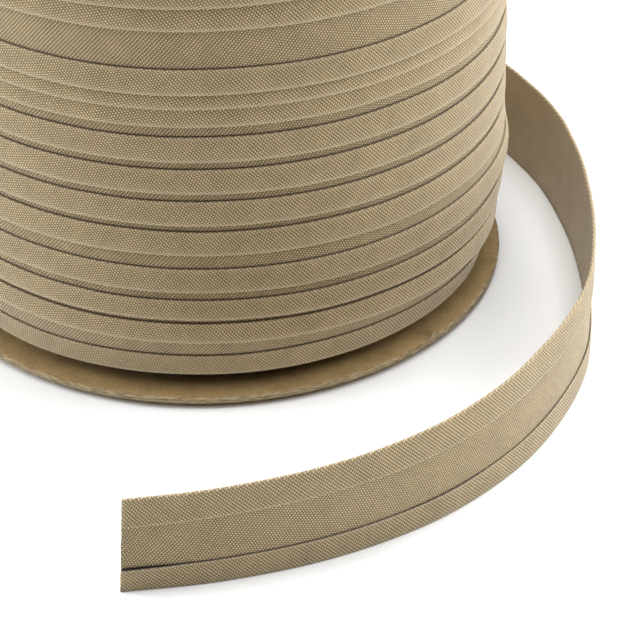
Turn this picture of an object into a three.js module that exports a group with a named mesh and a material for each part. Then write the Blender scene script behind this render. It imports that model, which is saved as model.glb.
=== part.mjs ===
// Roll of folded bias binding tape on a card spool, with its loose end lying in a bow on the table.
// Units are millimetres and +Z is up. The origin is on the spool's axis, on the table. The tape's
// bow and its cut end are at -Y, which is the front, and +X is to the right.
//
// The tape is woven cloth cut on the bias, with both raw edges folded to one side. It is wound in
// leaning turns: each turn lies over the upper part of the turn below it, so only its lower folded
// edge, one flap and a little of the channel between the flaps show on the roll.

import * as THREE from 'three';
import { mergeVertices } from 'three/addons/utils/BufferGeometryUtils.js';

// Spool. The lower flange stands on a foot that is set back from its rim.
const ROLL_HEIGHT = 108;
const FLANGE_RADIUS = 57;
const FLANGE_THICKNESS = 1.3;
const FLANGE_BEVEL = 0.3;
const FLANGE_SEGMENTS = 96;
const FOOT_RADIUS = 50;
const FOOT_HEIGHT = 1.1;
const LOWER_FLANGE_TOP = FOOT_HEIGHT + FLANGE_THICKNESS;
const UPPER_FLANGE_BASE = ROLL_HEIGHT - FLANGE_THICKNESS;
const SEAT_GAP = 0.3;

// Tape
const TAPE_WIDTH = 20;
const TAPE_THICKNESS = 1.0;
const FLAP_RISE = 0.5;
const LOWER_FLAP = 4.9;
const UPPER_FLAP = 5.7;

// Winding: its widest folds, the necks between its ends and the flanges, and how far up from its
// lowest fold and down from its topmost edge it swells to the full radius
const WOUND_RADIUS = 57.5;
const NECK_RADIUS = 50;
const SHOULDER_RISE = 0.8;
const LOWEST_FOLD = { radius: 54.6, height: 6.0 };
const TOPMOST_EDGE = { radius: 55.6, height: 105.0 };
const LOWER_SWELL = 9;
const UPPER_SWELL = 18;
const FOLD_STEP = 0.8;
const FOLD_LIP = 0.35;
const MERGE_DISTANCE = 1e-3;
const COLUMNS = 96;

// Height of each turn's lower fold where it crosses the front of the roll. The last one is above
// what the photo shows.
const FRONT_FOLDS = [
  { turn: 0, height: 6.0 },
  { turn: 1, height: 14.8 },
  { turn: 2, height: 19.7 },
  { turn: 3, height: 25.6 },
  { turn: 4, height: 33.35 },
  { turn: 5, height: 39.55 },
  { turn: 6, height: 46.05 },
  { turn: 7, height: 52.45 },
  { turn: 8, height: 59.4 },
  { turn: 9, height: 62.85 },
  { turn: 10, height: 65.55 },
  { turn: 11, height: 77.75 },
  { turn: 12, height: 81.9 },
  { turn: 13, height: 85.0 },
];

// The folds climb faster at the front than behind: how far they lie above or below an even climb at
// the sides, and the heights between which this grows from the level lowest fold and dies out again
const TILT = 1.1;
const TILT_GROWS = { from: 6, to: 16 };
const TILT_ENDS = { from: 78, to: 85 };

// The tape leaves the roll at this angle from +X, and the turns are counted from there, clockwise
// as seen from above
const LEAVING_ANGLE = 215;
const FRONT_ANGLE = -90;
const FRONT_FRACTION = (LEAVING_ANGLE - FRONT_ANGLE) / 360;
const FIRST_TURN_BLEND = 0.35;
const LAST_TURN_BLEND = 0.06;

// Route of the loose end's lower edge on the roll and behind it: angle from +X, distance of the
// tape from the spool's axis and height above the table
const HUGGING_RADIUS = WOUND_RADIUS + SEAT_GAP + TAPE_THICKNESS / 2;
const ROUTE_BEHIND = [
  { angle: LEAVING_ANGLE, radius: HUGGING_RADIUS, lift: 84.5 },
  { angle: 205, radius: HUGGING_RADIUS, lift: 82.6 },
  { angle: 180, radius: 58.7, lift: 74 },
  { angle: 155, radius: 60.0, lift: 59.5 },
  { angle: 130, radius: 61.4, lift: 43 },
  { angle: 100, radius: 63.8, lift: 23.5 },
  { angle: 70, radius: 67.3, lift: 7.0 },
];

// Route of its lower edge on the table, from where it comes down behind the roll to its cut end
const ROUTE_ON_TABLE = [
  { x: 50.3, y: 50.2 },
  { x: 64.6, y: 26.2 },
  { x: 70.4, y: 2.7 },
  { x: 71.9, y: -15.6 },
  { x: 71.7, y: -31.6 },
  { x: 69.8, y: -47.0 },
  { x: 64.2, y: -62.0 },
  { x: 55.5, y: -76.3 },
  { x: 42.8, y: -89.2 },
  { x: 30.7, y: -97.1 },
  { x: 17.6, y: -102.8 },
  { x: 1.4, y: -107.0 },
  { x: -13.4, y: -108.8 },
];

// Outward lean of the tape's upper edge, in degrees, at even steps along the table
const LEANS = [0.8, 4.5, 0.8, -3.6, 0.6, 3.1];
const TABLE_RUN = 214.5;
const ROUTE_STEPS = 84;

// Materials
const CLOTH_COLOUR = 0xa8917c;
const CARD_COLOUR = 0x8a7462;
const cloth = new THREE.MeshStandardMaterial({ color: CLOTH_COLOUR, roughness: 0.9, metalness: 0 });
const card = new THREE.MeshStandardMaterial({ color: CARD_COLOUR, roughness: 0.8, metalness: 0 });

// Point at an angle in degrees, a distance from the axis and a height
function polar(angle, radius, height) {
  const turn = THREE.MathUtils.degToRad(angle);
  return new THREE.Vector3(radius * Math.cos(turn), radius * Math.sin(turn), height);
}

// Closed body from loose triangles. Points that coincide are merged and triangles that have shrunk
// to a line are left out, so that folds may run out to nothing.
function welded(loose) {
  const merged = mergeVertices(loose, MERGE_DISTANCE);
  const old = merged.getIndex().array;
  const kept = [];
  for (let i = 0; i < old.length; i += 3) {
    const corners = [old[i], old[i + 1], old[i + 2]];
    if (new Set(corners).size === 3) kept.push(...corners);
  }
  merged.setIndex(kept);
  merged.computeVertexNormals();
  return merged;
}

// Closed body from a list of points and a list of triangles
function closedBody(points, triangles) {
  const loose = new THREE.BufferGeometry();
  loose.setAttribute('position', new THREE.Float32BufferAttribute(points.flatMap((p) => p.toArray()), 3));
  loose.setIndex(triangles.flat());
  return welded(loose);
}

// The two triangles of a cell of a grid, given its four corners in order
function cell(a, b, c, d) {
  return [[a, b, c], [a, c, d]];
}

// Card flange turned from its outline: a disc with a small bevel on both rims, and a foot under it
// where it has one
function flangeGeometry(base, foot) {
  const inner = FLANGE_RADIUS - FLANGE_BEVEL;
  const top = base + FLANGE_THICKNESS;
  const outline = [
    [0, base - foot],
    [inner, base],
    [FLANGE_RADIUS, base + FLANGE_BEVEL],
    [FLANGE_RADIUS, top - FLANGE_BEVEL],
    [inner, top],
    [0, top],
  ];
  if (foot > 0) outline.splice(1, 0, [FOOT_RADIUS, base - foot], [FOOT_RADIUS, base]);
  const points = outline.map(([radius, height]) => new THREE.Vector2(radius, height));
  const turned = new THREE.LatheGeometry(points, FLANGE_SEGMENTS);
  turned.deleteAttribute('normal');
  turned.deleteAttribute('uv');
  turned.rotateX(Math.PI / 2);
  return welded(turned);
}

// How far a fold lies above or below an even climb, at a height and a number of turns past the front
function tilt(height, passed) {
  const grown = THREE.MathUtils.smoothstep(height, TILT_GROWS.from, TILT_GROWS.to);
  const left = 1 - THREE.MathUtils.smoothstep(height, TILT_ENDS.from, TILT_ENDS.to);
  return TILT * grown * left * Math.sin(2 * Math.PI * passed);
}

// Height of the lower fold after a number of turns from where the tape leaves the roll
function foldHeight(turns) {
  const passed = turns - FRONT_FRACTION;
  if (passed <= 0) return LOWEST_FOLD.height;
  const last = FRONT_FOLDS.length - 1;
  if (passed >= last) {
    const above = TOPMOST_EDGE.height - FRONT_FOLDS[last].height;
    const run = THREE.MathUtils.clamp((passed - last - (1 - FRONT_FRACTION)) / FRONT_FRACTION, 0, 1);
    return FRONT_FOLDS[last].height + above * run;
  }
  const lower = Math.floor(passed);
  const share = THREE.MathUtils.smoothstep(passed - lower, 0, 1);
  const rise = FRONT_FOLDS[lower + 1].height - FRONT_FOLDS[lower].height;
  const height = FRONT_FOLDS[lower].height + rise * share;
  return height + tilt(height, passed);
}

// How far a fold stands out from the turn below it: nothing in the first turn, which is the lower
// edge of the winding, and nothing past the point where the tape leaves the roll
function foldStep(turns) {
  const first = THREE.MathUtils.smoothstep(turns, 1, 1 + FIRST_TURN_BLEND);
  const end = FRONT_FOLDS.length;
  const last = 1 - THREE.MathUtils.smoothstep(turns, end - LAST_TURN_BLEND, end);
  return FOLD_STEP * first * last;
}

// Radius of the folds at a height: full over most of the roll and drawn in at both ends
function foldRadius(height) {
  const fromBottom = THREE.MathUtils.clamp((height - LOWEST_FOLD.height) / LOWER_SWELL, 0, 1);
  const fromTop = THREE.MathUtils.clamp((TOPMOST_EDGE.height - height) / UPPER_SWELL, 0, 1);
  const lower = (WOUND_RADIUS - LOWEST_FOLD.radius) * (1 - fromBottom) ** 2;
  const upper = (WOUND_RADIUS - TOPMOST_EDGE.radius) * (1 - fromTop) ** 2;
  return WOUND_RADIUS - lower - upper;
}

// Outline of the winding at one place round the roll, from its lower face up to its upper face.
// Each fold has a point under its lip and one on it, and the last fold's place is a plain point.
function windingColumn(fraction) {
  const angle = LEAVING_ANGLE - 360 * fraction;
  const outline = [
    polar(angle, NECK_RADIUS, LOWER_FLANGE_TOP + SEAT_GAP),
    polar(angle, NECK_RADIUS, LOWEST_FOLD.height - SHOULDER_RISE),
    polar(angle, LOWEST_FOLD.radius, LOWEST_FOLD.height),
  ];
  for (let turn = 0; turn <= FRONT_FOLDS.length; turn += 1) {
    const turns = turn + fraction;
    const height = foldHeight(turns);
    const radius = foldRadius(height);
    const share = foldStep(turns) / FOLD_STEP;
    outline.push(polar(angle, radius - FOLD_STEP * share, height));
    outline.push(polar(angle, radius, height + FOLD_LIP * share));
  }
  outline.push(polar(angle, TOPMOST_EDGE.radius, TOPMOST_EDGE.height));
  outline.push(polar(angle, NECK_RADIUS, TOPMOST_EDGE.height + SHOULDER_RISE));
  outline.push(polar(angle, NECK_RADIUS, UPPER_FLANGE_BASE - SEAT_GAP));
  return outline;
}

// The winding as one solid. Its columns run clockwise, and the last one meets the first one turn
// further on, so that the folds climb as one helix.
function windingGeometry() {
  const points = [];
  const triangles = [];
  const height = windingColumn(0).length;
  for (let i = 0; i <= COLUMNS; i += 1) points.push(...windingColumn(i / COLUMNS));
  for (let i = 0; i < COLUMNS; i += 1) {
    for (let j = 0; j < height - 1; j += 1) {
      const here = i * height + j;
      triangles.push(...cell(here, here + 1, here + height + 1, here + height));
    }
  }
  const under = points.push(polar(0, 0, LOWER_FLANGE_TOP + SEAT_GAP)) - 1;
  const over = points.push(polar(0, 0, UPPER_FLANGE_BASE - SEAT_GAP)) - 1;
  for (let i = 0; i < COLUMNS; i += 1) {
    triangles.push([under, i * height, (i + 1) * height]);
    triangles.push([over, (i + 2) * height - 1, (i + 1) * height - 1]);
  }
  return closedBody(points, triangles);
}

// Cross-section of the loose tape: n across its thickness, away from the spool, and u up its width
function tapeSection() {
  const back = -TAPE_THICKNESS / 2;
  const channel = TAPE_THICKNESS / 2;
  const flap = channel + FLAP_RISE;
  return [
    { n: back, u: 0 },
    { n: flap, u: 0 },
    { n: flap, u: LOWER_FLAP },
    { n: channel, u: LOWER_FLAP },
    { n: channel, u: TAPE_WIDTH - UPPER_FLAP },
    { n: flap, u: TAPE_WIDTH - UPPER_FLAP },
    { n: flap, u: TAPE_WIDTH },
    { n: back, u: TAPE_WIDTH },
  ];
}

// Lower edge of the loose tape, from the roll to the cut end
function tapeRoute() {
  const behind = ROUTE_BEHIND.map((row) => polar(row.angle, row.radius, row.lift));
  const onTable = ROUTE_ON_TABLE.map((row) => new THREE.Vector3(row.x, row.y, 0));
  return new THREE.CatmullRomCurve3([...behind, ...onTable], false, 'centripetal');
}

// Lean of the tape in radians at a distance from its cut end
function leanAt(distance) {
  const place = THREE.MathUtils.clamp(1 - distance / TABLE_RUN, 0, 1) * (LEANS.length - 1);
  const before = Math.min(Math.floor(place), LEANS.length - 2);
  return THREE.MathUtils.degToRad(THREE.MathUtils.lerp(LEANS[before], LEANS[before + 1], place - before));
}

// The loose tape: its section stood on edge along the route. It leans with the route where that
// climbs, and its upper edge leans outward or inward by the angles above. Where it leans, it is
// lifted so that its lowest corner stays on the route, and it never dips below the table.
function looseEndGeometry() {
  const up = new THREE.Vector3(0, 0, 1);
  const route = tapeRoute();
  const length = route.getLength();
  const section = tapeSection();
  const count = section.length;
  const [inmost, outmost] = [section[0].n, section[1].n];
  const points = [];
  const triangles = [];
  for (let i = 0; i <= ROUTE_STEPS; i += 1) {
    const share = i / ROUTE_STEPS;
    const along = route.getTangentAt(share);
    const lean = leanAt(length * (1 - share));
    const outward = new THREE.Vector3().crossVectors(up, along).normalize().applyAxisAngle(along, -lean);
    const across = new THREE.Vector3().crossVectors(along, outward).normalize();
    const lowest = Math.min(outward.z * inmost, outward.z * outmost);
    const edge = route.getPointAt(share);
    edge.z = Math.max(edge.z, 0) - lowest;
    for (const { n, u } of section) {
      points.push(edge.clone().addScaledVector(outward, n).addScaledVector(across, u));
    }
  }
  for (let i = 0; i < ROUTE_STEPS; i += 1) {
    for (let j = 0; j < count; j += 1) {
      const next = (j + 1) % count;
      const here = i * count;
      triangles.push(...cell(here + j, here + next, here + count + next, here + count + j));
    }
  }
  const outline = section.map(({ n, u }) => new THREE.Vector2(n, u));
  const end = ROUTE_STEPS * count;
  for (const [a, b, c] of THREE.ShapeUtils.triangulateShape(outline, [])) {
    triangles.push([c, b, a]);
    triangles.push([end + a, end + b, end + c]);
  }
  return closedBody(points, triangles);
}

function part(name, geometry, material) {
  const mesh = new THREE.Mesh(geometry, material);
  mesh.name = name;
  return mesh;
}

const roll = new THREE.Group();
roll.add(part('flange_lower', flangeGeometry(FOOT_HEIGHT, FOOT_HEIGHT), card));
roll.add(part('flange_upper', flangeGeometry(UPPER_FLANGE_BASE, 0), card));
roll.add(part('wound_tape', windingGeometry(), cloth));
roll.add(part('loose_end', looseEndGeometry(), cloth));

export default roll;
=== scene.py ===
"""Roll of folded bias binding tape on a card spool, with its loose end bowed out in front.

Lengths in the classes below are millimetres, as a tape maker gives them, and become metres when a
mesh is made. The spool's axis is +Z through the origin, the surface is at height 0, and the cut end
of the tape is at the front, towards -Y.
"""

from __future__ import annotations

import logging
import math
from dataclasses import dataclass
from enum import Enum
from typing import Sequence

import bpy
import numpy as np
from mathutils import Matrix, Vector

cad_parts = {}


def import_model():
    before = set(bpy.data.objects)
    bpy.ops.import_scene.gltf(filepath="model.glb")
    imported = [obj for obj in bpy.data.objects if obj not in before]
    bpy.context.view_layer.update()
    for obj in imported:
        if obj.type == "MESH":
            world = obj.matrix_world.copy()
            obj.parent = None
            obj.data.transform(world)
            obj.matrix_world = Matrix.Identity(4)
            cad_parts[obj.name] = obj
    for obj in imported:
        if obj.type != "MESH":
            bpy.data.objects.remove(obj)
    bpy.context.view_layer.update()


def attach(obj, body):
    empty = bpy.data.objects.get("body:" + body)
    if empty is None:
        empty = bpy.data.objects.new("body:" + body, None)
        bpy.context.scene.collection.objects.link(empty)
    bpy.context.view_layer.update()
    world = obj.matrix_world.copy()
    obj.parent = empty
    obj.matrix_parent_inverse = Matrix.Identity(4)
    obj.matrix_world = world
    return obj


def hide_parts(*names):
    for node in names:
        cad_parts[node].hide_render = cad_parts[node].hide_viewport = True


LOG = logging.getLogger("binding_roll")
MM = 0.001


class Slot(Enum):
    """Names of the material slots that the pieces stand for; nothing in the script reads them."""

    CLOTH = "tape_cloth"
    CARD = "card"


class Level(Enum):
    """Which end of the spool a flange closes."""

    LOWER = "lower"
    UPPER = "upper"


def smooth(value: float | np.ndarray, low: float, high: float) -> float | np.ndarray:
    """Smooth step from 0 at low to 1 at high.

    Args:
        value: Number or array to map.
        low: Value that gives 0.
        high: Value that gives 1.

    Returns:
        The mapped number or array.
    """
    t = np.clip((np.asarray(value, float) - low) / (high - low), 0.0, 1.0)
    return t * t * (3 - 2 * t)


def mesh_piece(name: str, points: np.ndarray, faces: Sequence[Sequence[int]]) -> bpy.types.Object:
    """Makes an object at the origin from points in millimetres.

    Args:
        name: Name of the object and its mesh.
        points: Array of points, one row each, in millimetres.
        faces: Corner indices of each face, anticlockwise seen from outside.

    Returns:
        The new object, linked to the scene.
    """
    mesh = bpy.data.meshes.new(name)
    mesh.from_pydata((np.asarray(points) * MM).tolist(), [], [list(face) for face in faces])
    mesh.update()
    piece = bpy.data.objects.new(name, mesh)
    bpy.context.scene.collection.objects.link(piece)
    return piece


def paint_corners(
    piece: bpy.types.Object,
    uv: Sequence[Sequence[tuple[float, float]]],
    marks: dict[str, list[list[float]]],
) -> None:
    """Gives a piece its cloth coordinates and its marks, face corner by face corner.

    Args:
        piece: Object to paint.
        uv: For each face, the place of each corner on the flat cloth, in millimetres.
        marks: For each attribute, the value at each corner of each face.
    """
    layer = piece.data.uv_layers.new(name="cloth")
    flat = np.array([corner for face in uv for corner in face], float)
    layer.data.foreach_set("uv", flat.ravel())
    for name, values in marks.items():
        attribute = piece.data.attributes.new(name, "FLOAT", "CORNER")
        attribute.data.foreach_set("value", np.array([v for face in values for v in face], float))


class Expression:
    """A number in a node tree that can be used in plain arithmetic."""

    def __init__(self, book: "NodeBook", socket: bpy.types.NodeSocket) -> None:
        """Wraps an output socket.

        Args:
            book: Node tree that the socket is in.
            socket: Output socket that carries the number.
        """
        self.book = book
        self.socket = socket

    def math(self, operation: str, *values: "Expression | float") -> "Expression":
        """Adds one Math node with this number as its first input.

        Args:
            operation: Name of the Math node's operation.
            values: The other inputs, in order.

        Returns:
            The node's result.
        """
        inputs = dict(enumerate([self, *values]))
        node = self.book.node("ShaderNodeMath", {"operation": operation}, inputs)
        return Expression(self.book, node.outputs[0])

    def __add__(self, other: "Expression | float") -> "Expression":
        """Sum.

        Args:
            other: Number to add.

        Returns:
            The sum.
        """
        return self.math("ADD", other)

    __radd__ = __add__

    def __mul__(self, other: "Expression | float") -> "Expression":
        """Product.

        Args:
            other: Number to multiply by.

        Returns:
            The product.
        """
        return self.math("MULTIPLY", other)

    __rmul__ = __mul__

    def __sub__(self, other: "Expression | float") -> "Expression":
        """Difference.

        Args:
            other: Number to take away.

        Returns:
            The difference.
        """
        return self.math("SUBTRACT", other)

    def __rsub__(self, other: float) -> "Expression":
        """Difference from a plain number.

        Args:
            other: Number to take this one from.

        Returns:
            The difference.
        """
        return (self * -1.0) + other

    def __truediv__(self, other: "Expression | float") -> "Expression":
        """Quotient.

        Args:
            other: Number to divide by.

        Returns:
            The quotient.
        """
        return self.math("DIVIDE", other)

    def __pow__(self, other: "Expression | float") -> "Expression":
        """Power.

        Args:
            other: Exponent.

        Returns:
            The power.
        """
        return self.math("POWER", other)

    def floor(self) -> "Expression":
        """Whole part.

        Returns:
            The number rounded down.
        """
        return self.math("FLOOR")

    def cosine(self) -> "Expression":
        """Cosine of an angle in radians.

        Returns:
            The cosine.
        """
        return self.math("COSINE")

    def wrapped(self, span: float) -> "Expression":
        """Remainder on division, never below 0.

        Args:
            span: Number to divide by.

        Returns:
            The remainder.
        """
        return self.math("FLOORED_MODULO", span)

    def at_least(self, other: "Expression | float") -> "Expression":
        """The larger of two numbers.

        Args:
            other: The second number.

        Returns:
            The larger one.
        """
        return self.math("MAXIMUM", other)

    def ramp(self, low: float, high: float, start: float = 0.0, end: float = 1.0) -> "Expression":
        """Smooth change from one value to another.

        Args:
            low: Number that gives start.
            high: Number that gives end.
            start: Value at and below low.
            end: Value at and above high.

        Returns:
            The mapped number.
        """
        settings = {"interpolation_type": "SMOOTHSTEP"}
        inputs = {0: self, 1: low, 2: high, 3: start, 4: end}
        return Expression(self.book, self.book.node("ShaderNodeMapRange", settings, inputs).outputs[0])


class NodeBook:
    """A node tree, with short ways to write its nodes."""

    def __init__(self, tree: bpy.types.NodeTree) -> None:
        """Takes a node tree to write in.

        Args:
            tree: The node tree.
        """
        self.tree = tree

    def node(
        self,
        kind: str,
        settings: dict[str, object] | None = None,
        inputs: dict[int | str, object] | None = None,
    ) -> bpy.types.Node:
        """Adds a node, sets it and fills its inputs.

        Args:
            kind: Type of the node.
            settings: The node's own properties, set first.
            inputs: Value, expression or socket for each input, by index or name.

        Returns:
            The new node.
        """
        node = self.tree.nodes.new(kind)
        for key, value in (settings or {}).items():
            setattr(node, key, value)
        for key, value in (inputs or {}).items():
            if isinstance(value, Expression):
                value = value.socket
            if isinstance(value, bpy.types.NodeSocket):
                self.tree.links.new(value, node.inputs[key])
            else:
                node.inputs[key].default_value = value
        return node

    def vector(
        self, x: Expression | float, y: Expression | float, z: Expression | float
    ) -> bpy.types.NodeSocket:
        """Vector made of three numbers.

        Args:
            x: First number.
            y: Second number.
            z: Third number.

        Returns:
            The vector's socket.
        """
        return self.node("ShaderNodeCombineXYZ", {}, {0: x, 1: y, 2: z}).outputs[0]

    def parts(self, vector: bpy.types.NodeSocket) -> list[Expression]:
        """The three numbers of a vector.

        Args:
            vector: The vector's socket.

        Returns:
            Its three numbers.
        """
        node = self.node("ShaderNodeSeparateXYZ", {}, {0: vector})
        return [Expression(self, part) for part in node.outputs]

    def noise(
        self,
        place: bpy.types.NodeSocket,
        scale: float | Expression,
        detail: float,
        dimensions: str = "3D",
    ) -> Expression:
        """Noise between 0 and 1.

        Args:
            place: Where the noise is read, as a vector socket.
            scale: Lumps for each unit of length.
            detail: Number of finer octaves.
            dimensions: Dimensions of the noise.

        Returns:
            The noise's value.
        """
        inputs = {"Vector": place, "Scale": scale, "Detail": detail}
        node = self.node("ShaderNodeTexNoise", {"noise_dimensions": dimensions}, inputs)
        return Expression(self, node.outputs[0])


class ShaderBook(NodeBook):
    """A material's node tree."""

    def __init__(self, name: str) -> None:
        """Makes an empty material.

        Args:
            name: Name of the material.
        """
        self.material = bpy.data.materials.new(name)
        self.material.use_nodes = True
        super().__init__(self.material.node_tree)
        self.tree.nodes.clear()

    def mark(self, name: str) -> Expression:
        """Number stored on the piece.

        Args:
            name: Name of the attribute that holds it.

        Returns:
            The number.
        """
        node = self.node("ShaderNodeAttribute", {"attribute_name": name})
        return Expression(self, node.outputs["Fac"])

    def blend(
        self,
        share: Expression,
        first: tuple[float, float, float] | bpy.types.NodeSocket,
        second: tuple[float, float, float] | bpy.types.NodeSocket,
        mode: str = "MIX",
    ) -> bpy.types.NodeSocket:
        """Blend of two colours.

        Args:
            share: Amount of the second colour.
            first: Colour at share 0.
            second: Colour at share 1.
            mode: How the second colour is laid on the first.

        Returns:
            The blended colour's socket.
        """
        node = self.node("ShaderNodeMix", {"data_type": "RGBA", "blend_type": mode}, {0: share})
        for index, colour in ((6, first), (7, second)):
            if isinstance(colour, bpy.types.NodeSocket):
                self.tree.links.new(colour, node.inputs[index])
            else:
                node.inputs[index].default_value = (*colour, 1.0)
        return node.outputs[2]

    def finish(self, **sockets: object) -> bpy.types.Material:
        """Closes the material with one surface shader.

        Args:
            sockets: Value, expression or socket for each input, with underscores for spaces.

        Returns:
            The finished material.
        """
        inputs = {key.replace("_", " "): value for key, value in sockets.items()}
        surface = self.node("ShaderNodeBsdfPrincipled", {}, inputs)
        self.node("ShaderNodeOutputMaterial", {}, {"Surface": surface.outputs[0]})
        return self.material


class ShapeBook(NodeBook):
    """A Geometry Nodes tree with named inputs, whose result becomes a plain mesh."""

    def __init__(self, name: str) -> None:
        """Makes a tree with a geometry input and output.

        Args:
            name: Name of the tree.
        """
        super().__init__(bpy.data.node_groups.new(name, "GeometryNodeTree"))
        face = self.tree.interface
        face.new_socket("Geometry", in_out="INPUT", socket_type="NodeSocketGeometry")
        face.new_socket("Geometry", in_out="OUTPUT", socket_type="NodeSocketGeometry")
        self.entry = self.tree.nodes.new("NodeGroupInput")
        self.way_out = self.tree.nodes.new("NodeGroupOutput")
        self.values: dict[str, object] = {}

    def given(self, name: str, value: object, kind: str = "NodeSocketFloat") -> Expression:
        """Adds a named input and the value that it will get.

        Args:
            name: Name of the input.
            value: Its value.
            kind: Type of its socket.

        Returns:
            The input, for use in the tree.
        """
        item = self.tree.interface.new_socket(name, in_out="INPUT", socket_type=kind)
        self.values[item.identifier] = value
        return Expression(self, self.entry.outputs[name])

    def close(self, geometry: bpy.types.NodeSocket, material: Expression) -> None:
        """Ends the tree with Realize Instances and Set Material.

        Args:
            geometry: The finished geometry.
            material: Input that holds the material.
        """
        real = self.node("GeometryNodeRealizeInstances", {}, {0: geometry}).outputs[0]
        dressed = self.node("GeometryNodeSetMaterial", {}, {"Geometry": real, "Material": material})
        self.tree.links.new(dressed.outputs[0], self.way_out.inputs[0])

    def shape(self, piece: bpy.types.Object) -> None:
        """Runs the tree on a piece and keeps the result as its plain mesh.

        Args:
            piece: Object whose mesh goes in and is replaced.
        """
        modifier = piece.modifiers.new(self.tree.name, "NODES")
        modifier.node_group = self.tree
        for identifier, value in self.values.items():
            modifier[identifier] = value
        graph = bpy.context.evaluated_depsgraph_get()
        result = bpy.data.meshes.new_from_object(
            piece.evaluated_get(graph), preserve_all_data_layers=True, depsgraph=graph
        )
        piece.modifiers.remove(modifier)
        piece.data = result
        result.name = piece.name


@dataclass(frozen=True)
class BiasCloth:
    """Poplin cut on the bias, read from the piece's cloth coordinates.

    Thick weft threads make ribs across the bias and twice as many fine warp threads run over and
    under them. The cloth coordinates run on round the folds, so the ribs lean the other way on a flap.
    Marks on the piece say where the cloth shows its plainer inner side, the side that faces the roll,
    which is also painted lighter there as painted light on that shaded side; where it is painted pale
    along a fold or a cut edge, partly for wear and partly as a painted highlight; and where painted
    shade darkens it to near black in a crevice, under a lip, under a flap and on the neck. Patches
    are counted to the millimetre.
    """

    bias_angle: float = 41.5
    weft_per_mm: float = 1.89
    warp_per_mm: float = 3.95
    yarn: tuple[float, float, float] = (0.75, 0.585, 0.325)
    # Near-black painted shade: the colour of the gaps between threads and of crevices, lips and flaps.
    hollow_shade: tuple[float, float, float] = (0.03, 0.018, 0.007)
    # Pale colour along folds and raw edges: partly wear, partly a painted highlight where the folds
    # catch the light.
    wear_and_highlight: tuple[float, float, float] = (0.6, 0.5, 0.34)
    # Lighter, plainer colour of the side that faces the roll: partly the cloth's own inner side, partly
    # painted light on that side, which lies in shade.
    inner: tuple[float, float, float] = (0.5, 0.375, 0.205)
    inner_shade: float = 0.72
    inner_share: float = 0.4
    weft_tone: float = 0.42
    wear_and_highlight_shares: tuple[float, float] = (0.3, 0.8)
    rib_roundness: float = 0.9
    end_roundness: float = 0.8
    thread_wander: float = 0.35
    warp_wander: float = -1.3
    wander_patches: float = 0.3
    mottle_patches: float = 0.16
    mottle_depth: float = 0.25
    fibre_patches: float = 9.0
    fibre_depth: float = 0.2
    slub_depth: float = 0.6
    slub_patches: float = 0.11
    lightness: float = 1.05
    darkest: float = 0.03
    relief: float = 0.1
    bump_strength: float = 0.42
    roughness: float = 0.83
    roughness_change: float = 0.1
    sheen: float = 0.22
    sheen_roughness: float = 0.55
    gloss: float = 0.2

    def material(self) -> bpy.types.Material:
        """Builds the cloth's material.

        Returns:
            The material.
        """
        book = ShaderBook("bias_cloth")
        place = book.node("ShaderNodeUVMap", {"uv_map": "cloth"}).outputs[0]
        weft, warp = self.thread_counts(book, place)
        rib = ((weft.wrapped(1.0) - 0.5) * math.pi).cosine().at_least(0.0) ** self.rib_roundness
        end = ((warp.wrapped(1.0) - 0.5) * math.pi).cosine().at_least(0.0) ** self.end_roundness
        under = (weft.floor() + warp.floor()).wrapped(2.0)
        height = rib * end * (1.0 - under * (1.0 - self.weft_tone))
        mottle = book.noise(place, self.mottle_patches, 4.0, "2D")
        fibre = book.noise(place, self.fibre_patches, 3.0, "2D")
        uneven = self.thread_tone(book, warp, weft, under)
        uneven = uneven + (mottle - 0.5) * self.mottle_depth + (fibre - 0.5) * self.fibre_depth
        # The colour follows the threads' height: partly the weave's own pattern, partly painted shade
        # in the gaps between threads and a painted highlight on their crowns.
        tone = height * self.lightness + self.darkest + uneven * (height + 0.15)
        colour = book.blend(tone, self.hollow_shade, self.yarn)
        shaded = tuple(self.inner_shade * part for part in self.inner)
        felt = book.blend(mottle * 0.9 + fibre * 0.4 - 0.2, shaded, self.inner)
        # The side that faces the roll is blended towards the lighter inner colour: partly its own
        # plainer face, partly painted light on its shaded side.
        colour = book.blend(book.mark("inner") * self.inner_share, colour, felt)
        patchy = fibre.ramp(0.3, 0.7, *self.wear_and_highlight_shares)
        # Folds and raw edges painted pale: partly wear, partly a painted highlight.
        colour = book.blend(book.mark("pale") * patchy, colour, self.wear_and_highlight)
        # Painted shade: the crevice mark darkens the cloth to near black under lips, in the raw edges'
        # crevices, under flaps and on the neck.
        colour = book.blend(book.mark("painted_shade"), colour, self.hollow_shade)
        bump = book.node(
            "ShaderNodeBump",
            {},
            {
                "Strength": self.bump_strength,
                "Distance": self.relief * MM,
                "Height": height + fibre * self.fibre_depth,
            },
        )
        return book.finish(
            Base_Color=colour,
            Roughness=mottle * self.roughness_change + self.roughness,
            Normal=bump.outputs[0],
            Sheen_Weight=self.sheen,
            Sheen_Roughness=self.sheen_roughness,
            Specular_IOR_Level=self.gloss,
        )

    def thread_counts(
        self, book: ShaderBook, place: bpy.types.NodeSocket
    ) -> tuple[Expression, Expression]:
        """Position on the cloth counted in threads, with the slight wander of the threads.

        Args:
            book: Node tree to write in.
            place: Place on the flat cloth, in millimetres.

        Returns:
            The position across the weft threads and the position across the warp threads.
        """
        along, across, _ = book.parts(place)
        wander = (book.noise(place, self.wander_patches, 2.0, "2D") - 0.5) * self.thread_wander
        turn = math.radians(self.bias_angle)
        weft = (along * math.cos(turn) + across * math.sin(turn)) * self.weft_per_mm + wander
        warp = (across * math.cos(turn) - along * math.sin(turn)) * self.warp_per_mm
        return weft, warp + wander * self.warp_wander

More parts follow.
